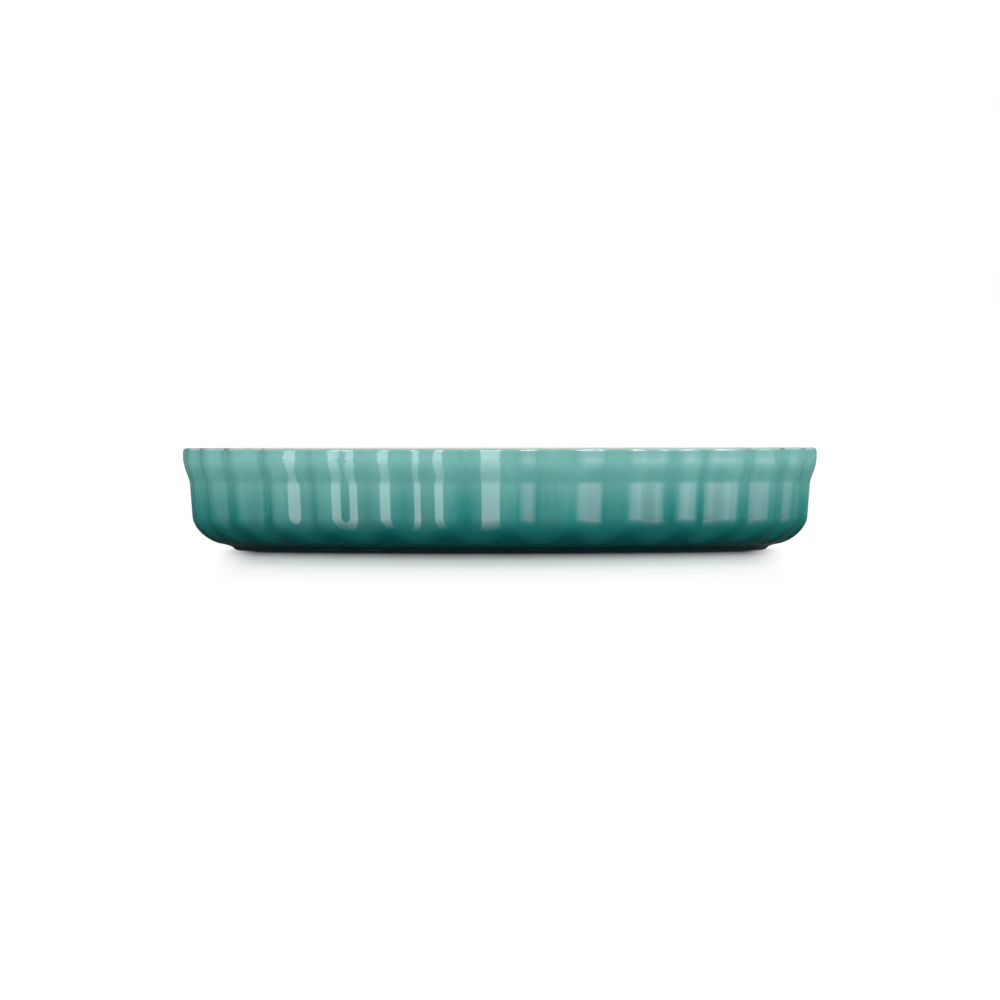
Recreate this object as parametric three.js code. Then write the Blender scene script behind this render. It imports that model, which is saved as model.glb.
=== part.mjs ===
// Fluted stoneware tart dish: a pressed and fired clay body on a low foot ring, a coloured glaze
// outside, a pale glaze inside and over the lip, and a glazed panel under the base.
// Millimetres, +Z up, with the origin at the centre of the plane that the foot ring stands on.
import * as THREE from "three";

// Overall sizes, measured over the glaze
const RIM_DIAMETER = 280; // across opposite flute crests
const HEIGHT = 45; // table to the top of the lip

// Flutes: wide round crests with narrower creases between them
const FLUTES = 31;
const FLUTE_DEPTH = 3; // crest to crease outside
const INNER_FLUTE_DEPTH = 2.6; // crest to crease inside
const CREASE_POWER = 1.28; // 1 is a plain wave, and more makes the creases narrower
const FACETS_PER_FLUTE = 5; // odd, so that each crease has a line of corners and each crest a flat

// Lip and flare: the wall swings out in an S below an upright lip
const LIP_HEIGHT = 4;
const LIP_ROUND = 1.5; // outer edge
const LIP_INNER_ROUND = 2.4; // inner edge
const RIM_WIDTH = 5.8;
const FLARE = 3; // how far the lip stands out past the wall
const FLARE_HEIGHT = 11.5;
const FLARE_FOOT_FULLNESS = 0.2; // share of the flare's height that leaves along the wall
const FLARE_LIP_FULLNESS = 0.38; // share of it that leaves along the lip

// Wall and corner
const WALL_TAPER = 1.1; // from the foot of the flare down to the corner
const WALL_THICKNESS = 6; // at the corner
const CORNER_HEIGHT = 15; // where the straight wall starts, above the table
const CORNER_SIDE_FULLNESS = 0.4; // share of the corner's height that leaves along the wall
const CORNER_UNDER_FULLNESS = 0.62; // share of its width that leaves along the underside
const CORNER_RISE = 0.5; // how far the underside climbs along that share

// Floor, foot ring and underside
const FLOOR_THICKNESS = 6.8;
const INNER_BEVEL_HEIGHT = 4.2; // between the wall and the floor inside
const INNER_BEVEL_REACH = 6;
const FOOT_DIAMETER = 236.4; // where the foot ring leaves the underside
const FOOT_HEIGHT = 2.1;
const FOOT_ROUND = 3.4; // from that diameter in to the flat of the ring
const FOOT_FLAT = 5.2; // width of the ring's bare flat
const FOOT_INNER_SLOPE = 2; // width of the ring's inner flank
const RECESS = 1.8; // glazed panel inside the ring, above the table

// Glaze
const GLAZE = 0.5;
const GLAZE_EDGE = 0.25; // share of the foot ring's rounding that stays bare below the glaze
const PANEL_MARGIN = 0.8; // bare clay left between the panel's glaze and the ring

const FACETS = FLUTES * FACETS_PER_FLUTE;
const PANEL_FACETS = 75;
const CORNER_STEPS = 3;
const FLARE_STEPS = 3;
const rimRadius = RIM_DIAMETER / 2;
const floorLevel = RECESS + FLOOR_THICKNESS;

// A place on the dish's outline: its radius and height on a crest, and how deep a crease is there.
const place = (radius, height, crease = 0) => ({ at: new THREE.Vector2(radius, height), crease });

// Places along a curve, with the crease's depth eased from its first to its last value.
function placesAlong(curve, steps, firstCrease, lastCrease) {
  return curve.getPoints(steps).map((at, i) => ({
    at,
    crease: THREE.MathUtils.lerp(firstCrease, lastCrease, Math.sqrt(i / steps)),
  }));
}

// The glaze's outer face, from its edge on the foot ring up to the parting line on the lip.
function outsideOutline() {
  const foot = new THREE.EllipseCurve(
    FOOT_DIAMETER / 2 - FOOT_ROUND, FOOT_HEIGHT, FOOT_ROUND, FOOT_HEIGHT, -Math.PI / 2, 0,
  );
  const glazeEdge = foot.getPoint(GLAZE_EDGE);
  const junction = foot.getPoint(1);
  const neck = new THREE.Vector2(rimRadius - FLARE, HEIGHT - LIP_HEIGHT - FLARE_HEIGHT);
  const wallFoot = new THREE.Vector2(neck.x - WALL_TAPER, CORNER_HEIGHT);
  const cornerWidth = wallFoot.x - junction.x;
  const wallSlope = WALL_TAPER / (neck.y - wallFoot.y);
  const cornerDrop = CORNER_SIDE_FULLNESS * (wallFoot.y - junction.y);
  const corner = new THREE.CubicBezierCurve(
    junction,
    new THREE.Vector2(junction.x + CORNER_UNDER_FULLNESS * cornerWidth, junction.y + CORNER_RISE),
    new THREE.Vector2(wallFoot.x - cornerDrop * wallSlope, wallFoot.y - cornerDrop),
    wallFoot,
  );
  const lipStart = new THREE.Vector2(rimRadius, HEIGHT - LIP_HEIGHT);
  const flareRise = FLARE_FOOT_FULLNESS * FLARE_HEIGHT;
  const flare = new THREE.CubicBezierCurve(
    neck,
    new THREE.Vector2(neck.x + flareRise * wallSlope, neck.y + flareRise),
    new THREE.Vector2(lipStart.x, lipStart.y - FLARE_LIP_FULLNESS * FLARE_HEIGHT),
    lipStart,
  );
  const parting = LIP_ROUND * (1 - Math.SQRT1_2);
  return [
    place(glazeEdge.x, glazeEdge.y),
    ...placesAlong(corner, CORNER_STEPS, 0, FLUTE_DEPTH),
    ...placesAlong(flare, FLARE_STEPS, FLUTE_DEPTH, FLUTE_DEPTH),
    place(rimRadius - parting, HEIGHT - parting, FLUTE_DEPTH),
  ];
}

// The glaze's face inside, from the top of the lip down the wall and across the floor to the axis.
function insideOutline() {
  const lipInside = rimRadius - RIM_WIDTH;
  const wallFoot = rimRadius - FLARE - WALL_TAPER - WALL_THICKNESS;
  return [
    place(lipInside + LIP_INNER_ROUND, HEIGHT, INNER_FLUTE_DEPTH),
    place(lipInside, HEIGHT - LIP_INNER_ROUND, INNER_FLUTE_DEPTH),
    place(wallFoot, floorLevel + INNER_BEVEL_HEIGHT, INNER_FLUTE_DEPTH),
    place(wallFoot - INNER_BEVEL_REACH, floorLevel),
    place(0, floorLevel),
  ];
}

// The clay under a glazed outline: each place moved in by the glaze's thickness, square to the
// faces on both sides of it. The glaze thins to nothing at the outline's first place.
function clayUnder(glazed) {
  const inward = (from, to) => {
    const along = to.at.clone().sub(from.at).normalize();
    return new THREE.Vector2(-along.y, along.x);
  };
  return glazed.map((here, i) => {
    if (i === 0) return here;
    const before = inward(glazed[i - 1], here);
    const after = i + 1 < glazed.length ? inward(here, glazed[i + 1]) : before;
    const shift = before.clone().add(after).multiplyScalar(GLAZE / (1 + before.dot(after)));
    return { at: here.at.clone().add(shift), crease: here.crease };
  });
}

// The underside of the clay, from the axis out over the panel and the foot ring's bare flat.
function undersideOutline() {
  const flatOuter = FOOT_DIAMETER / 2 - FOOT_ROUND;
  const flatInner = flatOuter - FOOT_FLAT;
  return [
    place(0, RECESS + GLAZE),
    place(flatInner - FOOT_INNER_SLOPE, RECESS + GLAZE),
    place(flatInner, 0),
    place(flatOuter, 0),
  ];
}

// The coat on the panel inside the foot ring.
function panelOutline() {
  const edge = FOOT_DIAMETER / 2 - FOOT_ROUND - FOOT_FLAT - FOOT_INNER_SLOPE - PANEL_MARGIN;
  return [
    place(0, RECESS),
    place(edge - GLAZE, RECESS),
    place(edge, RECESS + GLAZE),
    place(0, RECESS + GLAZE),
  ];
}

// How deep the crease is at an angle round the dish, from 0 on a crest to 1 in a crease. A crease
// faces -Y, where a revolved outline starts.
function creaseShare(angle) {
  const turn = FLUTES * (angle + Math.PI / 2);
  return ((1 + Math.cos(turn)) / 2) ** CREASE_POWER;
}

// A solid of revolution about Z, with its outline drawn in towards the axis along each crease. Each
// four-cornered facet is split along its shorter diagonal, so that a coat and the clay under it
// have the same face between them.
function revolve(outline, facets) {
  const corners = [];
  for (let step = 0; step < facets; step++) {
    const angle = (2 * Math.PI * step) / facets - Math.PI / 2;
    const share = creaseShare(angle);
    for (const { at, crease } of outline) {
      const radius = at.x - crease * share;
      corners.push(new THREE.Vector3(radius * Math.cos(angle), radius * Math.sin(angle), at.y));
    }
  }
  const triangles = [];
  const addTriangle = (...three) => {
    const area = new THREE.Triangle(...three.map((i) => corners[i])).getArea();
    if (area > 0) triangles.push(...three);
  };
  for (let step = 0; step < facets; step++) {
    const next = (step + 1) % facets;
    for (let i = 0; i + 1 < outline.length; i++) {
      const a = step * outline.length + i;
      const b = a + 1;
      const d = next * outline.length + i;
      const c = d + 1;
      const splitAtA = corners[a].distanceTo(corners[c]) < corners[b].distanceTo(corners[d]);
      addTriangle(a, d, splitAtA ? c : b);
      addTriangle(splitAtA ? a : d, c, b);
    }
  }
  const geometry = new THREE.BufferGeometry().setFromPoints(corners);
  geometry.setIndex(triangles);
  geometry.computeVertexNormals();
  return geometry;
}

function piece(name, geometry, colour, roughness) {
  const material = new THREE.MeshStandardMaterial({ color: colour, roughness, metalness: 0 });
  const mesh = new THREE.Mesh(geometry, material);
  mesh.name = name;
  return mesh;
}

const outside = outsideOutline();
const glazed = [...outside, ...insideOutline()];
const clay = clayUnder(glazed);
const parting = outside.length - 1; // where the outer glaze ends and the inner one begins
const closed = (outline) => [...outline, outline[0]];

const body = [...undersideOutline(), ...clay];
const outerCoat = closed([...outside, ...clay.slice(1, parting + 1).reverse()]);
const innerCoat = closed([...glazed.slice(parting), ...clay.slice(parting).reverse()]);

const dish = new THREE.Group();
dish.add(
  piece("stoneware_body", revolve(body, FACETS), 0xd8c9b0, 0.85),
  piece("outer_glaze", revolve(outerCoat, FACETS), 0x5aa39b, 0.12),
  piece("inner_glaze", revolve(innerCoat, FACETS), 0xece6d6, 0.12),
  piece("base_glaze", revolve(panelOutline(), PANEL_FACETS), 0x1f6f68, 0.2),
);

export default dish;
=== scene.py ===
"""Looks of the fluted stoneware tart dish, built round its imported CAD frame. Outlines are in mm."""
import math

import bpy
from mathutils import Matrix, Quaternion, Vector


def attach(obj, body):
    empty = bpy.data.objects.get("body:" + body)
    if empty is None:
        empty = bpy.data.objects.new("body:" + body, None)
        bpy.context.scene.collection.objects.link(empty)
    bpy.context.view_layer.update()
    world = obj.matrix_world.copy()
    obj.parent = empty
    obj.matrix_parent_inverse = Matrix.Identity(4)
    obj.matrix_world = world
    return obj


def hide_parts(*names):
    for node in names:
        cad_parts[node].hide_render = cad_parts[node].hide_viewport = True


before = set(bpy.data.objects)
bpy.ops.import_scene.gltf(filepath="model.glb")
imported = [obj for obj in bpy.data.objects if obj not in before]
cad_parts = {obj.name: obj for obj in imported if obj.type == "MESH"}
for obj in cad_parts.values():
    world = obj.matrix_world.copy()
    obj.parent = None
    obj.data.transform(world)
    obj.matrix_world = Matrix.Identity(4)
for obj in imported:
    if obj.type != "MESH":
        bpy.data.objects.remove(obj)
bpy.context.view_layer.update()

MM = 0.001

# Sizes of the dish over its glaze, as in the CAD source
RIM_RADIUS = 140.0
HEIGHT = 45.0
FLUTES = 31
FLUTE_DEPTH = 3.0
INNER_FLUTE_DEPTH = 2.6
CREASE_POWER = 1.28
LIP_HEIGHT = 4.0
LIP_ROUND = 1.5
LIP_INNER_ROUND = 2.4
RIM_WIDTH = 5.8
FLARE = 3.0
FLARE_HEIGHT = 11.5
FLARE_FOOT_FULLNESS = 0.2
FLARE_LIP_FULLNESS = 0.38
WALL_TAPER = 1.1
WALL_THICKNESS = 6.0
CORNER_HEIGHT = 15.0
CORNER_SIDE_FULLNESS = 0.4
CORNER_UNDER_FULLNESS = 0.62
CORNER_RISE = 0.5
FLOOR_LEVEL = 8.6
INNER_CORNER_HEIGHT = 8.4  # round, where the CAD source has a bevel
INNER_CORNER_REACH = 12.0
FOOT_RADIUS = 118.2
FOOT_HEIGHT = 2.1
FOOT_ROUND = 3.4
FOOT_FLAT = 5.2
FOOT_INNER_SLOPE = 2.0
RECESS = 1.8
GLAZE = 0.5
PANEL_MARGIN = 0.8

# Sizes of what is finer than in the CAD source
PARTING_ANGLE = 80  # degrees up the lip's outer round, where the two glazes meet
GLAZE_EDGE_ANGLE = -80  # degrees down the foot ring's round, where the outer glaze ends
POOL_ANGLE = -35  # degrees down the same round, where the pooled glaze above it begins
CREASE_GROWTH = 0.7  # power of the way up the corner by which the creases deepen
FLANK_TOP = 0.3  # share of the foot ring's inner flank that its rounded top takes up
FLANK_FOOT = 0.35  # share of it that its rounded foot takes up
FLANK_TOP_REACH = 1.0  # how far the rounding goes on along the panel
FLANK_FOOT_REACH = 0.9  # how far the rounding goes on along the ring's flat
PANEL_ROUND = 1.2  # width of the rounded edge of the coat on the panel
PANEL_ROUND_FULLNESS = 0.2  # how far from that edge its curve turns

STEPS_PER_FLUTE = 20
TURN_STEPS = FLUTES * STEPS_PER_FLUTE
SHARP_ANGLE = 50  # degrees between faces from which an edge is drawn sharp


# Outlines: lists of (radius, height, crease depth), from the foot up, over the lip and in

def bezier(points, steps):
    """Points along a Bezier curve of any degree."""
    found = []
    for i in range(steps + 1):
        t = i / steps
        row = [Vector(p) for p in points]
        while len(row) > 1:
            row = [a.lerp(b, t) for a, b in zip(row, row[1:])]
        found.append(tuple(row[0]))
    return found


def arc(centre, radii, start, end, steps):
    """Points along an upright arc, its angles in degrees from the outward direction."""
    angles = [math.radians(start + (end - start) * i / steps) for i in range(steps + 1)]
    return [(centre[0] + radii[0] * math.cos(a), centre[1] + radii[1] * math.sin(a)) for a in angles]


def outside_outline(fineness):
    """The outer glaze's face, from its edge on the foot ring to the parting line on the lip."""
    neck = (RIM_RADIUS - FLARE, HEIGHT - LIP_HEIGHT - FLARE_HEIGHT)
    wall_foot = (neck[0] - WALL_TAPER, CORNER_HEIGHT)
    wall_slope = WALL_TAPER / (neck[1] - wall_foot[1])
    width = wall_foot[0] - FOOT_RADIUS
    drop = CORNER_SIDE_FULLNESS * (wall_foot[1] - FOOT_HEIGHT)
    foot = arc((FOOT_RADIUS - FOOT_ROUND, FOOT_HEIGHT), (FOOT_ROUND, FOOT_HEIGHT),
               GLAZE_EDGE_ANGLE, POOL_ANGLE, 2 * fineness)
    corner = bezier([
        (FOOT_RADIUS, FOOT_HEIGHT),
        (FOOT_RADIUS + CORNER_UNDER_FULLNESS * width, FOOT_HEIGHT + CORNER_RISE),
        (wall_foot[0] - drop * wall_slope, wall_foot[1] - drop),
        wall_foot,
    ], 10 * fineness)
    joint = 2 * fineness  # where the pooled glaze above the foot ring ends on the corner
    pooled = bezier([foot[-1], (FOOT_RADIUS, FOOT_HEIGHT), corner[joint]], joint)
    rise = FLARE_FOOT_FULLNESS * FLARE_HEIGHT
    flare = bezier([
        neck,
        (neck[0] + wall_slope * rise, neck[1] + rise),
        (RIM_RADIUS, HEIGHT - LIP_HEIGHT - FLARE_LIP_FULLNESS * FLARE_HEIGHT),
        (RIM_RADIUS, HEIGHT - LIP_HEIGHT),
    ], 6 * fineness)
    wall = bezier([wall_foot, neck], 2 * fineness)
    lip = arc((RIM_RADIUS - LIP_ROUND, HEIGHT - LIP_ROUND), (LIP_ROUND, LIP_ROUND),
              0, PARTING_ANGLE, 2 * fineness)
    outline = [(*p, 0.0) for p in foot]
    steps = len(corner) - 1
    creases = [FLUTE_DEPTH * (i / steps) ** CREASE_GROWTH for i in range(steps + 1)]
    outline += [(*p, creases[joint] * i / joint) for i, p in enumerate(pooled)][1:]
    outline += [(*p, crease) for p, crease in zip(corner, creases)][joint + 1:]
    outline += [(*p, FLUTE_DEPTH) for p in wall[1:] + flare[1:] + lip]
    return outline


def inside_outline(fineness):
    """The inner glaze's face, from the parting line over the lip and down to the axis."""
    lip_inside = RIM_RADIUS - RIM_WIDTH
    wall_foot = (RIM_RADIUS - FLARE - WALL_TAPER - WALL_THICKNESS,
                 FLOOR_LEVEL + INNER_CORNER_HEIGHT)
    floor_edge = wall_foot[0] - INNER_CORNER_REACH
    over = arc((RIM_RADIUS - LIP_ROUND, HEIGHT - LIP_ROUND), (LIP_ROUND, LIP_ROUND),
               PARTING_ANGLE, 90, 2 * fineness)
    over += arc((lip_inside + LIP_INNER_ROUND, HEIGHT - LIP_INNER_ROUND),
                (LIP_INNER_ROUND, LIP_INNER_ROUND), 90, 180, 4 * fineness)
    wall = bezier([over[-1], wall_foot], 3 * fineness)
    corner = bezier([wall_foot, (wall_foot[0], FLOOR_LEVEL), (floor_edge, FLOOR_LEVEL)], 6 * fineness)
    outline = []
    for i, p in enumerate(over):
        share = i / (len(over) - 1)
        outline.append((*p, FLUTE_DEPTH + (INNER_FLUTE_DEPTH - FLUTE_DEPTH) * share))
    outline += [(*p, INNER_FLUTE_DEPTH) for p in wall[1:]]
    steps = len(corner) - 1
    for i, p in enumerate(corner[1:], 1):
        fade = math.cos(0.5 * math.pi * i / steps)
        outline.append((*p, INNER_FLUTE_DEPTH * fade))
    rings = 3 * fineness
    outline += [(floor_edge * (1 - i / rings), FLOOR_LEVEL, 0.0) for i in range(1, rings + 1)]
    return outline


def clay_under(outline):
    """The clay's outline, in by the glaze's thickness, which thins out at the first point."""
    moved = []
    for i, (radius, height, crease) in enumerate(outline):
        before = outline[max(i - 1, 0)]
        after = outline[min(i + 1, len(outline) - 1)]
        along = Vector((after[0] - before[0], after[1] - before[1])).normalized()
        depth = GLAZE * min(1.0, i / 2)
        moved.append((max(radius - along.y * depth, 0.0), height + along.x * depth, crease))
    return moved


def underside_outline():
    """The bare clay from the axis over the panel to the glaze's edge on the foot ring."""
    flat_outer = FOOT_RADIUS - FOOT_ROUND
    flat_inner = flat_outer - FOOT_FLAT
    panel = RECESS + GLAZE
    slope_top = flat_inner - FOOT_INNER_SLOPE
    points = [(0.0, panel), (slope_top - 3 * FLANK_TOP_REACH, panel)]
    points += bezier([(slope_top - FLANK_TOP_REACH, panel), (slope_top, panel),
                      (slope_top + FLANK_TOP * FOOT_INNER_SLOPE, panel * (1 - FLANK_TOP))], 4)
    points += bezier([(flat_inner - FLANK_FOOT * FOOT_INNER_SLOPE, panel * FLANK_FOOT),
                      (flat_inner, 0), (flat_inner + FLANK_FOOT_REACH, 0)], 4)
    points += arc((flat_outer, FOOT_HEIGHT), (FOOT_ROUND, FOOT_HEIGHT), -90, GLAZE_EDGE_ANGLE, 3)
    return [(*p, 0.0) for p in points]


def panel_outline():
    """The coat of glaze on the panel inside the foot ring."""
    edge = FOOT_RADIUS - FOOT_ROUND - FOOT_FLAT - FOOT_INNER_SLOPE - PANEL_MARGIN
    top = RECESS + GLAZE
    rim = bezier([(edge - PANEL_ROUND, RECESS), (edge - PANEL_ROUND_FULLNESS, RECESS), (edge, top)], 5)
    points = [(0.0, RECESS), (edge * 0.5, RECESS), *rim, (edge * 0.5, top), (0.0, top)]
    return [(*p, 0.0) for p in points]


def crease_share(angle):
    """0 on a flute's crest and 1 in the crease between two flutes. A crease faces -Y."""
    return ((1 + math.cos(FLUTES * (angle + math.pi / 2))) / 2) ** CREASE_POWER


def linked_mesh(name, corners, faces):
    """A mesh object in the scene's collection."""
    mesh = bpy.data.meshes.new(name)
    mesh.from_pydata(corners, [], faces)
    made = bpy.data.objects.new(name, mesh)
    bpy.context.collection.objects.link(made)
    return made


def turned(name, outline, closed=False):
    """A piece turned about Z from its outline and drawn in along the creases."""
    angles = [2 * math.pi * s / TURN_STEPS - math.pi / 2 for s in range(TURN_STEPS)]
    shares = [crease_share(a) for a in angles]
    corners, rings, creases = [], [], []
    for radius, height, crease in outline:
        first = len(corners)
        if radius == 0:
            corners.append((0, 0, height * MM))
            creases.append(0.0)
            rings.append([first] * (TURN_STEPS + 1))
            continue
        for angle, share in zip(angles, shares):
            r = (radius - crease * share) * MM
            corners.append((r * math.cos(angle), r * math.sin(angle), height * MM))
            creases.append(share * crease / FLUTE_DEPTH)
        rings.append([first + s % TURN_STEPS for s in range(TURN_STEPS + 1)])
    if closed:
        rings.append(rings[0])
    faces = []
    for low, high in zip(rings, rings[1:]):
        for s in range(TURN_STEPS):
            face = dict.fromkeys((low[s], low[s + 1], high[s + 1], high[s]))
            if len(face) > 2:
                faces.append(tuple(face))
    piece = linked_mesh(name, corners, faces)
    mesh = piece.data
    mesh.attributes.new("crease", "FLOAT", "POINT").data.foreach_set("value", creases)
    mesh.polygons.foreach_set("use_smooth", [True] * len(faces))
    mesh.set_sharp_from_angle(angle=math.radians(SHARP_ANGLE))
    return piece


# Finishes

def colour(code):
    """An sRGB hex colour as linear RGBA."""
    channels = [int(code[i:i + 2], 16) / 255 for i in (0, 2, 4)]
    return (*(c / 12.92 if c <= 0.04045 else ((c + 0.055) / 1.055) ** 2.4 for c in channels), 1.0)


def add_node(tree, kind, inputs=(), **settings):
    """Adds a node. inputs holds (socket, value) pairs, and a value may be the socket that feeds it."""
    made = tree.nodes.new("ShaderNode" + kind)
    for name, value in settings.items():
        setattr(made, name, value)
    for socket, value in inputs:
        if isinstance(value, bpy.types.NodeSocket):
            tree.links.new(value, made.inputs[socket])
        else:
            made.inputs[socket].default_value = value
    return made


def empty_material(name):
    """A new material and its node tree with nothing in it."""
    material = bpy.data.materials.new(name)
    material.use_nodes = True
    material.node_tree.nodes.clear()
    return material, material.node_tree


def set_stops(ramp, stops):
    """Fills a colour ramp with (position, colour) stops: the lowest, the highest and then the rest
    from low to high."""
    elements = ramp.color_ramp.elements
    for i, (position, value) in enumerate(stops):
        element = elements[i] if i < 2 else elements.new(position)
        element.position = position
        element.color = value


def teal_glaze(name, lift, even_below):
    """Teal glaze, sprayed and fired to a gloss: a melt-smooth skin that reflects sharply, pale at the
    lip where it was sprayed thin and almost black at the foot where it was sprayed thickest, with
    faint runs down the wall and a very slight orange peel. lift is how far up the wall, in metres,
    it takes its shade from, and even_below is the height under which it has no runs or clouds."""
    material, tree = empty_material(name)
    place = add_node(tree, "TexCoord")
    along = add_node(tree, "SeparateXYZ", [("Vector", place.outputs["Object"])])
    # Runs about 1.2 mm wide and 30 mm long
    runs_at = add_node(tree, "Mapping", [("Vector", place.outputs["Object"]), ("Scale", (1, 1, 0.04))])
    runs = add_node(tree, "TexNoise", [
        ("Vector", runs_at.outputs["Vector"]), ("Scale", 1 / 0.0024),
        ("Detail", 3.0), ("Roughness", 0.6)])
    # Clouds about 12 mm across shift the shade up and down the wall
    clouds = add_node(tree, "TexNoise", [
        ("Vector", place.outputs["Object"]), ("Scale", 1 / 0.024), ("Detail", 2.0)])
    run_share = add_node(tree, "Math", [(0, runs.outputs["Fac"]), (1, 0.5)], operation="SUBTRACT")
    run_depth = add_node(tree, "MapRange", [
        ("Value", along.outputs["Z"]), ("From Min", 0.010), ("From Max", 0.020),
        ("To Min", 0.001), ("To Max", 0.007)])
    run_shift = add_node(tree, "Math", [
        (0, run_share.outputs[0]), (1, run_depth.outputs["Result"])], operation="MULTIPLY")
    cloud_share = add_node(tree, "Math", [(0, clouds.outputs["Fac"]), (1, 0.5)], operation="SUBTRACT")
    cloud_shift = add_node(tree, "Math", [
        (0, cloud_share.outputs[0]), (1, 0.004), (2, run_shift.outputs[0])], operation="MULTIPLY_ADD")
    # Both end above the foot ring, where the glaze is thick and even
    above_foot = add_node(tree, "MapRange", [
        ("Value", along.outputs["Z"]), ("From Min", even_below), ("From Max", even_below + 0.006)])
    uneven = add_node(tree, "Math", [
        (0, cloud_shift.outputs[0]), (1, above_foot.outputs["Result"]), (2, lift)],
        operation="MULTIPLY_ADD")
    # The flanks and creases are darker on the wall. On the corner the sign turns, and this painted
    # shade makes the crests there darker than the creases, in scallops where they face down
    crease = add_node(tree, "Attribute", attribute_name="crease")
    flank_curve = add_node(tree, "Math", [
        (0, crease.outputs["Fac"]), (1, 0.010), (2, -0.0125)], operation="MULTIPLY_ADD")
    flute_darkening = add_node(tree, "Math", [
        (0, crease.outputs["Fac"]), (1, flank_curve.outputs[0])], operation="MULTIPLY")
    on_wall = add_node(tree, "MapRange", [
        ("Value", along.outputs["Z"]), ("From Min", 0.004), ("From Max", 0.015), ("To Min", -1.4)])
    below_lip = add_node(tree, "MapRange", [
        ("Value", along.outputs["Z"]), ("From Min", 0.040), ("From Max", 0.033)])
    past_foot = add_node(tree, "MapRange", [
        ("Value", along.outputs["Z"]), ("From Min", 0.0022), ("From Max", 0.0042)])
    between = add_node(tree, "Math", [
        (0, past_foot.outputs["Result"]), (1, below_lip.outputs["Result"])], operation="MULTIPLY")
    wall_and_corner_shade = add_node(tree, "Math", [
        (0, on_wall.outputs["Result"]), (1, between.outputs[0])], operation="MULTIPLY")
    # pooled is the flutes' darkening, with painted shade on the corner, plus the runs and clouds
    pooled = add_node(tree, "Math", [
        (0, flute_darkening.outputs[0]), (1, wall_and_corner_shade.outputs[0]), (2, uneven.outputs[0])],
        operation="MULTIPLY_ADD")
    level = add_node(tree, "Math", [(0, along.outputs["Z"]), (1, pooled.outputs[0])], operation="ADD")
    share = add_node(tree, "Math", [
        (0, level.outputs[0]), (1, HEIGHT * MM)], operation="DIVIDE", use_clamp=True)
    shade = add_node(tree, "ValToRGB", [("Fac", share.outputs[0])])
    set_stops(shade, [
        (0.00, colour("185a60")),
        (1.00, colour("7cc0bc")),
        (0.092, colour("0e4045")),
        (0.10, colour("086c6a")),
        (0.19, colour("086967")),
        (0.27, colour("207d79")),
        (0.34, colour("32908b")),
        (0.42, colour("3d9893")),
        (0.50, colour("4fa39d")),
        (0.58, colour("5faea6")),
        (0.66, colour("6bb7b0")),
        (0.75, colour("71bdb6")),
        (0.84, colour("7ec8c0")),
        (0.90, colour("84ccc7")),
        (0.955, colour("7fc8bf")),
    ])
    # Thin over the clay in the last millimetre below the lip's edge
    edge = add_node(tree, "MapRange", [
        ("Value", along.outputs["Z"]), ("From Min", 0.0441), ("From Max", 0.0449)],
        interpolation_type="SMOOTHSTEP")
    thinned = add_node(tree, "Mix", [
        ("Factor", edge.outputs["Result"]), ("A", shade.outputs["Color"]), ("B", colour("9dc2b9"))],
        data_type="RGBA")
    # Orange peel: dimples under a millimetre across, hundredths of a millimetre deep on the lip and
    # far shallower below it
    peel = add_node(tree, "TexNoise", [
        ("Vector", place.outputs["Object"]), ("Scale", 1 / 0.0016), ("Detail", 1.0)])
    rough_lip = add_node(tree, "MapRange", [
        ("Value", along.outputs["Z"]), ("From Min", 0.034), ("From Max", 0.0415),
        ("To Min", 0.04), ("To Max", 1.0)])
    dimples = add_node(tree, "Bump", [
        ("Height", peel.outputs["Fac"]), ("Strength", rough_lip.outputs["Result"]),
        ("Distance", 0.00009)])
    skin = add_node(tree, "BsdfPrincipled", [
        ("Base Color", thinned.outputs["Result"]), ("Roughness", 0.06), ("IOR", 1.5),
        ("Normal", dimples.outputs["Normal"])])
    add_node(tree, "OutputMaterial", [("Surface", skin.outputs["BSDF"])])
    return material


def cream_glaze():
    """Cream glaze, poured and fired to a gloss: an opaque off-white with faint clouds and a few
    iron specks that melted through from the clay."""
    material, tree = empty_material("cream_glaze_fired")
    place = add_node(tree, "TexCoord")
    # Clouds about 15 mm across
    clouds = add_node(tree, "TexNoise", [
        ("Vector", place.outputs["Object"]), ("Scale", 1 / 0.03), ("Detail", 3.0)])
    body = add_node(tree, "ValToRGB", [("Fac", clouds.outputs["Fac"])])
    set_stops(body, [(0.3, colour("dcd7cb")), (0.7, colour("e8e4da"))])
    # Specks up to about 0.7 mm across, some 6 mm apart
    specks = add_node(tree, "TexVoronoi", [
        ("Vector", place.outputs["Object"]), ("Scale", 1 / 0.006)], feature="F1")
    dots = add_node(tree, "ValToRGB", [("Fac", specks.outputs["Distance"])])
    set_stops(dots, [(0.05, (1, 1, 1, 1)), (0.075, (0, 0, 0, 1))])
    faint = add_node(tree, "Math", [(0, dots.outputs["Color"]), (1, 0.35)], operation="MULTIPLY")
    flecked = add_node(tree, "Mix", [
        ("Factor", faint.outputs[0]), ("A", body.outputs["Color"]), ("B", colour("8a6b48"))],
        data_type="RGBA")
    # Orange peel: shallow dimples about 2 mm across
    peel = add_node(tree, "TexNoise", [
        ("Vector", place.outputs["Object"]), ("Scale", 1 / 0.004), ("Detail", 1.0)])
    dimples = add_node(tree, "Bump", [
        ("Height", peel.outputs["Fac"]), ("Strength", 0.1), ("Distance", 0.00006)])
    skin = add_node(tree, "BsdfPrincipled", [
        ("Base Color", flecked.outputs["Result"]), ("Roughness", 0.08), ("IOR", 1.5),
        ("Normal", dimples.outputs["Normal"])])
    add_node(tree, "OutputMaterial", [("Surface", skin.outputs["BSDF"])])
    return material


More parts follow.
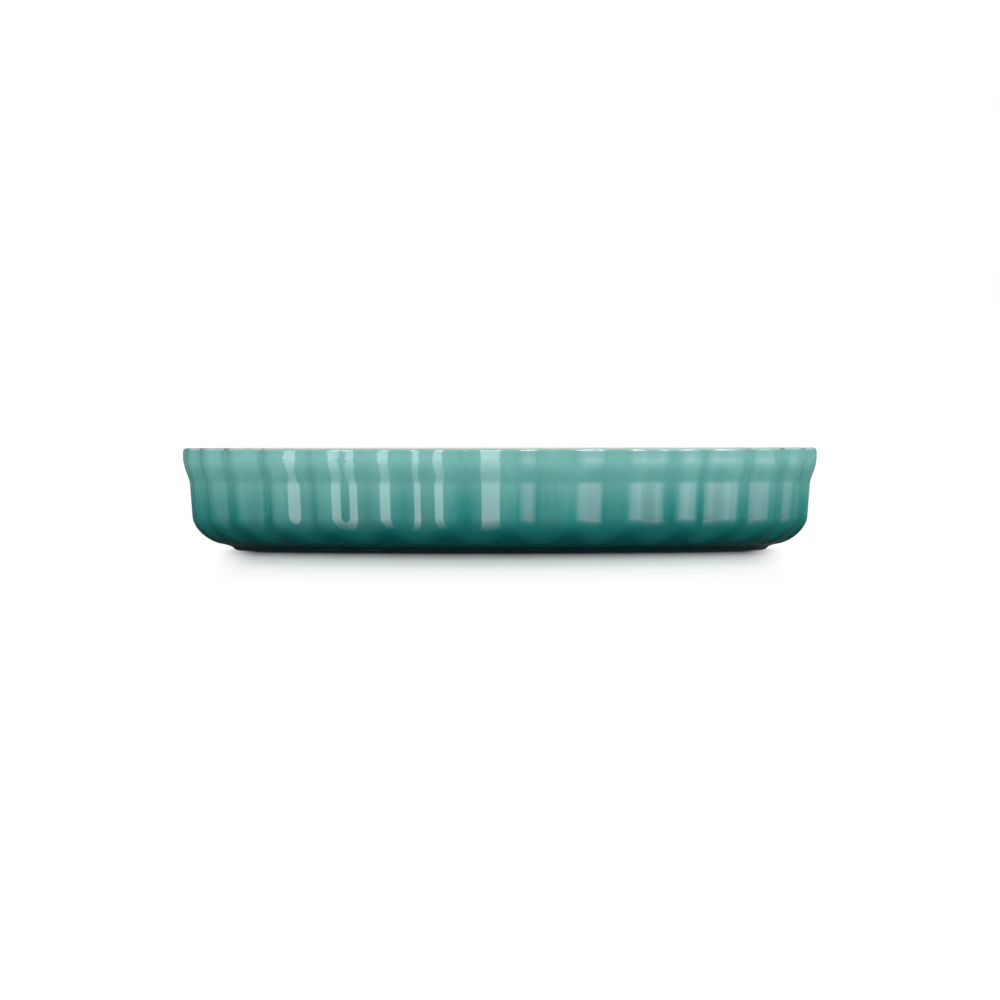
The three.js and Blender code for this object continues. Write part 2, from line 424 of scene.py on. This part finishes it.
def bare_stoneware():
    """Stoneware, pressed, fired and left bare where it stood in the kiln: a dry buff clay with a
    sandy grit and dark iron grains."""
    material, tree = empty_material("stoneware_bare")
    place = add_node(tree, "TexCoord")
    # Grit about 0.5 mm across
    grit = add_node(tree, "TexNoise", [
        ("Vector", place.outputs["Object"]), ("Scale", 1 / 0.001),
        ("Detail", 4.0), ("Roughness", 0.65)])
    clay = add_node(tree, "ValToRGB", [("Fac", grit.outputs["Fac"])])
    set_stops(clay, [
        (0.25, colour("8f7558")), (0.75, colour("ddcdb2")),
        (0.42, colour("c7b292")), (0.58, colour("d3c1a3"))])
    bumps = add_node(tree, "Bump", [
        ("Height", grit.outputs["Fac"]), ("Strength", 0.5), ("Distance", 0.00015)])
    skin = add_node(tree, "BsdfPrincipled", [
        ("Base Color", clay.outputs["Color"]), ("Roughness", 0.85), ("IOR", 1.5),
        ("Normal", bumps.outputs["Normal"])])
    add_node(tree, "OutputMaterial", [("Surface", skin.outputs["BSDF"])])
    return material


# Pieces

FINE = 4  # for the faces that show
ROUGH = 2  # for the clay under the glaze
glaze_edge_to_lip = outside_outline(FINE)
lip_to_floor = inside_outline(FINE)
clay_line = clay_under(outside_outline(ROUGH) + inside_outline(ROUGH)[1:])
parting = len(outside_outline(ROUGH)) - 1

pieces = [
    (turned("glaze_outside", glaze_edge_to_lip + clay_line[parting:0:-1], closed=True),
     "outer_glaze", "teal_glaze", teal_glaze("teal_glaze_fired", lift=0.002, even_below=0.003)),
    (turned("glaze_inside", lip_to_floor + clay_line[:parting - 1:-1], closed=True),
     "inner_glaze", "cream_glaze", cream_glaze()),
    (turned("glaze_under_base", panel_outline()),
     "base_glaze", "teal_glaze",
     teal_glaze("teal_glaze_thin_under_base", lift=0.010, even_below=-0.005)),
    (turned("stoneware", underside_outline() + clay_line[1:]),
     "stoneware_body", "stoneware", bare_stoneware()),
]
for piece, node, slot, finish in pieces:
    piece.data.materials.append(finish)
    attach(piece, "root")
    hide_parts(node)


# Stage: a white table, a lit room, and light boxes that show in the glaze

VIEW_TURN = 4.2  # degrees that the camera stands to the right of -Y
BOX_DISTANCE = 8.0  # metres from the axis to the light boxes
BOX_STEPS = 24
DRUM_STEPS = 64
TABLE_STEPS = 128

# The table, in metres where nothing else is said
TABLE_SLOPE = [  # (radius, drop) in mm, straight in front of the dish
    (114.6, 0), (117, 0), (121, -0.8), (126, -1.8), (136, -3.6), (150, -5.4), (175, -7.4),
    (220, -9.8), (300, -12), (500, -14.5), (1200, -18), (14000, -40)]
SLOPE_SPREAD = 0.6  # power of the cosine by which the slope runs out to both sides
TABLE_WHITE = 0.98
TABLE_GREY = 0.42
SHADE_REACH = 0.05  # how near the dish has to be to shade the table
SHADE_ENDS = (0.105, 0.126)  # to both sides of the axis, where the shade runs out
SHADE_FADE = (0.15, 0.36)  # from the axis, where it fades to white
SHADE_POWERS = (0.41, 0.26)  # how strong it is in the middle and at both ends
SHADE_POWER_END = 0.11
FOOT_LINE = (0.1182, 0.1206)  # from the axis, where the dark line along the foot ring runs out
FOOT_LINE_WHITE = 0.25


def on_circle(turn, distance):
    """A place on the ground at an angle to the right of the camera's direction."""
    angle = math.radians(VIEW_TURN + turn)
    return Vector((distance * math.sin(angle), -distance * math.cos(angle), 0))


def white_table():
    """A white matt table, level behind the dish and sloping down in front of it. It is grey to the
    light that it sends back up, so that the undersides stay dark. Inside the foot ring it is open,
    so that light comes to the base from below."""
    corners, faces = [], []
    for radius, drop in TABLE_SLOPE:
        for s in range(TABLE_STEPS):
            turn = 360 * s / TABLE_STEPS
            share = max(0.0, math.cos(math.radians(turn))) ** SLOPE_SPREAD
            corners.append(on_circle(turn, radius * MM) + Vector((0, 0, drop * share * MM)))
    for s in range(TABLE_STEPS):
        t = (s + 1) % TABLE_STEPS
        for ring in range(len(TABLE_SLOPE) - 1):
            a = ring * TABLE_STEPS
            b = a + TABLE_STEPS
            faces.append((a + s, b + s, b + t, a + t))
    table = linked_mesh("table", corners, faces)
    table.data.polygons.foreach_set("use_smooth", [True] * len(faces))
    material, tree = empty_material("white_matt_table")
    # Plain white past both ends of the dish and away from it
    place = add_node(tree, "TexCoord")
    aside = add_node(tree, "VectorMath", [
        (0, place.outputs["Object"]), (1, on_circle(90, 1))], operation="DOT_PRODUCT")
    off_middle = add_node(tree, "Math", [(0, aside.outputs["Value"])], operation="ABSOLUTE")
    beside = add_node(tree, "MapRange", [
        ("Value", off_middle.outputs[0]), ("From Min", SHADE_ENDS[0]), ("From Max", SHADE_ENDS[1])],
        interpolation_type="SMOOTHSTEP")
    from_axis = add_node(tree, "VectorMath", [(0, place.outputs["Object"])], operation="LENGTH")
    beyond = add_node(tree, "MapRange", [
        ("Value", from_axis.outputs["Value"]),
        ("From Min", SHADE_FADE[0]), ("From Max", SHADE_FADE[1])],
        interpolation_type="SMOOTHSTEP")
    unshaded = add_node(tree, "Math", [
        (0, beside.outputs["Result"]), (1, beyond.outputs["Result"])], operation="MAXIMUM")
    # The shade under the dish is lighter towards both ends, and darkest in a thin line along the
    # foot ring
    under = add_node(tree, "AmbientOcclusion", [("Distance", SHADE_REACH)])
    depth = add_node(tree, "MapRange", [
        ("Value", off_middle.outputs[0]), ("From Max", SHADE_POWER_END),
        ("To Min", SHADE_POWERS[0]), ("To Max", SHADE_POWERS[1])])
    contact = add_node(tree, "Math", [
        (0, under.outputs["AO"]), (1, depth.outputs["Result"])], operation="POWER")
    foot_line = add_node(tree, "MapRange", [
        ("Value", from_axis.outputs["Value"]), ("From Min", FOOT_LINE[0]), ("From Max", FOOT_LINE[1]),
        ("To Min", FOOT_LINE_WHITE), ("To Max", TABLE_WHITE)])
    paint = add_node(tree, "Math", [
        (0, contact.outputs[0]), (1, foot_line.outputs["Result"])], operation="MULTIPLY")
    matt = add_node(tree, "BsdfDiffuse", [("Color", paint.outputs[0])])
    white = add_node(tree, "Emission", [("Color", (1, 1, 1, 1)), ("Strength", 1.0)])
    lit = add_node(tree, "MixShader", [
        (0, unshaded.outputs[0]), (1, matt.outputs[0]), (2, white.outputs[0])])
    # Grey to all rays but the camera's, and clear from below
    grey = add_node(tree, "BsdfDiffuse", [("Color", (TABLE_GREY, TABLE_GREY, TABLE_GREY, 1))])
    ray = add_node(tree, "LightPath")
    top = add_node(tree, "MixShader", [
        (0, ray.outputs["Is Camera Ray"]), (1, grey.outputs[0]), (2, lit.outputs[0])])
    clear = add_node(tree, "BsdfTransparent")
    side = add_node(tree, "NewGeometry")
    seen = add_node(tree, "MixShader", [
        (0, side.outputs["Backfacing"]), (1, top.outputs[0]), (2, clear.outputs[0])])
    add_node(tree, "OutputMaterial", [("Surface", seen.outputs[0])])
    table.data.materials.append(material)
    table.visible_glossy = False


def only_in_gloss(thing):
    """Leaves a stage piece out of all but reflections."""
    thing.visible_camera = False
    thing.visible_diffuse = False
    thing.visible_transmission = False
    thing.visible_shadow = False
    thing.visible_volume_scatter = False


def light_box(name, left, right, low, high, levels, sides=(), tint="ffffff"):
    """An upright curved box of light that only the gloss of the glaze sees. left and right are
    degrees from the camera's direction, low and high are metres, levels are (height, strength)
    pairs, sides are (degrees, share of that strength) pairs where its edges are soft, and tint is
    the colour of its light."""
    corners, faces, across = [], [], []
    for i in range(BOX_STEPS + 1):
        foot = on_circle(left + (right - left) * i / BOX_STEPS, BOX_DISTANCE)
        corners += [(*foot.xy, low), (*foot.xy, high)]
    for i in range(BOX_STEPS):
        start, end = i / BOX_STEPS, (i + 1) / BOX_STEPS
        faces.append((2 * i, 2 * i + 2, 2 * i + 3, 2 * i + 1))
        across += [start, 0, end, 0, end, 1, start, 1]
    box = linked_mesh(name, corners, faces)
    box.data.uv_layers.new(name="across").data.foreach_set("uv", across)
    material, tree = empty_material(name)
    place = add_node(tree, "UVMap", uv_map="across")
    at = add_node(tree, "SeparateXYZ", [("Vector", place.outputs["UV"])])
    level = add_node(tree, "ValToRGB", [("Fac", at.outputs["Y"])])
    brightest = max(strength for _, strength in levels)
    set_stops(level, [((z - low) / (high - low), (s / brightest,) * 3 + (1,)) for z, s in levels])
    glow = level.outputs["Color"]
    if sides:
        fade = add_node(tree, "ValToRGB", [("Fac", at.outputs["X"])])
        set_stops(fade, [((turn - left) / (right - left), (s, s, s, 1)) for turn, s in sides])
        fade.color_ramp.interpolation = "EASE"
        faded = add_node(tree, "Math", [(0, glow), (1, fade.outputs["Color"])], operation="MULTIPLY")
        glow = faded.outputs[0]
    strength = add_node(tree, "Math", [(0, glow), (1, brightest)], operation="MULTIPLY")
    light = add_node(tree, "Emission", [("Color", colour(tint)), ("Strength", strength.outputs[0])])
    clear = add_node(tree, "BsdfTransparent")
    both = add_node(tree, "AddShader", [(0, light.outputs[0]), (1, clear.outputs[0])])
    add_node(tree, "OutputMaterial", [("Surface", both.outputs[0])])
    box.data.materials.append(material)
    only_in_gloss(box)


def dark_surround():
    """A dark drum round and below the dish, as a studio's black cloth, that only the gloss sees."""
    radius, low, high, glow = 12.0, -14.0, 5.0, 0.015
    angles = [2 * math.pi * s / DRUM_STEPS for s in range(DRUM_STEPS)]
    ring = [(radius * math.cos(a), radius * math.sin(a)) for a in angles]
    corners = [(x, y, low) for x, y in ring] + [(x, y, high) for x, y in ring]
    faces = [tuple(range(DRUM_STEPS))]
    for s in range(DRUM_STEPS):
        t = (s + 1) % DRUM_STEPS
        faces.append((s, t, DRUM_STEPS + t, DRUM_STEPS + s))
    drum = linked_mesh("dark_surround", corners, faces)
    material, tree = empty_material("black_cloth")
    cloth = add_node(tree, "Emission", [("Color", (1, 1, 1, 1)), ("Strength", glow)])
    add_node(tree, "OutputMaterial", [("Surface", cloth.outputs[0])])
    drum.data.materials.append(material)
    only_in_gloss(drum)


def side_lit_room():
    """A room with light all round and from below, more of it near the horizon, less of it from behind
    on the left and more from behind on the right. It is plain white to the camera and to what the
    glaze mirrors."""
    at_horizon = 1.6
    fall = -0.85  # from the horizon to straight up or down
    world = bpy.data.worlds.new("side_lit_room")
    bpy.context.scene.world = world
    world.use_nodes = True
    tree = world.node_tree
    tree.nodes.clear()
    place = add_node(tree, "TexCoord")
    towards = add_node(tree, "SeparateXYZ", [("Vector", place.outputs["Generated"])])
    slant = add_node(tree, "Math", [(0, towards.outputs["Z"])], operation="ABSOLUTE")
    dome = add_node(tree, "Math", [
        (0, slant.outputs[0]), (1, fall), (2, at_horizon)], operation="MULTIPLY_ADD")
    # Towards each of two sides, in degrees from the camera's direction, the light changes by a share
    sides = 1.0
    for turn, change in ((-125, -0.25), (110, 0.08)):
        facing = add_node(tree, "VectorMath", [
            (0, place.outputs["Generated"]), (1, on_circle(turn, 1))], operation="DOT_PRODUCT")
        share = add_node(tree, "MapRange", [
            ("Value", facing.outputs["Value"]), ("From Min", 0.2), ("To Max", change)],
            interpolation_type="SMOOTHSTEP")
        added = add_node(tree, "Math", [(0, share.outputs["Result"]), (1, sides)], operation="ADD")
        sides = added.outputs[0]
    room = add_node(tree, "Math", [(0, dome.outputs[0]), (1, sides)], operation="MULTIPLY")
    ray = add_node(tree, "LightPath")
    seen = add_node(tree, "Math", [
        (0, ray.outputs["Is Camera Ray"]), (1, ray.outputs["Is Glossy Ray"])], operation="MAXIMUM")
    white = add_node(tree, "Math", [
        (0, seen.outputs[0]), (1, ray.outputs["Is Transmission Ray"])], operation="MAXIMUM")
    strength = add_node(tree, "Mix", [("Factor", white.outputs[0]), ("A", room.outputs[0]), ("B", 1.0)])
    sky = add_node(tree, "Background", [
        ("Color", (1, 1, 1, 1)), ("Strength", strength.outputs["Result"])])
    add_node(tree, "OutputWorld", [("Surface", sky.outputs["Background"])])


white_table()
dark_surround()
side_lit_room()

# What the glaze mirrors: a tall box that gives the narrow bright strips on the left half, a soft one
# that gives the dim windows on the right half, a pale wall behind the right end, and a faint glow
# over the left half
light_box("strip_box_left", -53.0, -25.0, -16.0, 14.0, [
    (-16.0, 0.1), (14.0, 9.0), (-12.3, 0.45), (-8.9, 1.0), (-6.2, 1.9), (-4.6, 2.7), (-3.2, 3.5),
    (-1.5, 4.2), (-0.3, 5.0), (3.5, 5.2), (6.0, 9.0)])
light_box("soft_box_right", 28, 118, -7.0, 14.0, [
    (-7.0, 0.0), (14.0, 18.0), (-4.4, 0.6), (-2.9, 1.8), (-2.0, 3.2), (-1.5, 3.9), (-0.65, 3.9),
    (-0.1, 2.2), (4.0, 2.2), (7.0, 18.0)],
    [(28, 0.0), (118, 0.0), (52, 0.8), (67, 0.95), (90, 0.55)], tint="ffe8f7")
light_box("pale_backdrop", 118, 190, -3.0, 5.0, [
    (-3.0, 0.0), (5.0, 0.22), (-0.6, 0.04), (-0.1, 0.22)],
    [(118, 0.3), (190, 0.0), (123, 1.0), (177, 1.0)])
light_box("glow_left", -125, 30, -16.0, 3.0, [
    (-16.0, 0.0), (3.0, 1.7), (-6.0, 0.4), (-3.0, 0.7), (-1.5, 0.95), (-0.8, 1.2)],
    [(-125, 0.0), (30, 0.0), (-90, 0.75), (-60, 1.0), (-25, 0.85), (0, 0.5)])

# Camera: a long lens just above the rim's height
CAMERA_DISTANCE = 5.2
CAMERA_HEIGHT = 0.053
CAMERA_ROLL = -0.06  # degrees
CAMERA_REACH = 100.0
AIM_HEIGHT = 0.02205
FOCAL_LENGTH = 424.5  # mm
SENSOR_WIDTH = 36.0  # mm
LENS_SHIFT = -0.0004  # share of the frame's width
lens = bpy.data.cameras.new("camera")
lens.lens = FOCAL_LENGTH
lens.sensor_width = SENSOR_WIDTH
lens.shift_x = LENS_SHIFT
lens.clip_end = CAMERA_REACH
camera = bpy.data.objects.new("camera", lens)
bpy.context.collection.objects.link(camera)
camera.location = on_circle(0, CAMERA_DISTANCE) + Vector((0, 0, CAMERA_HEIGHT))
aim = Vector((0, 0, AIM_HEIGHT)) - camera.location
upright = aim.to_track_quat("-Z", "Y")
camera.rotation_euler = (upright @ Quaternion((0, 0, 1), math.radians(CAMERA_ROLL))).to_euler()
bpy.context.scene.camera = camera
bpy.context.scene.view_settings.view_transform = "Standard"
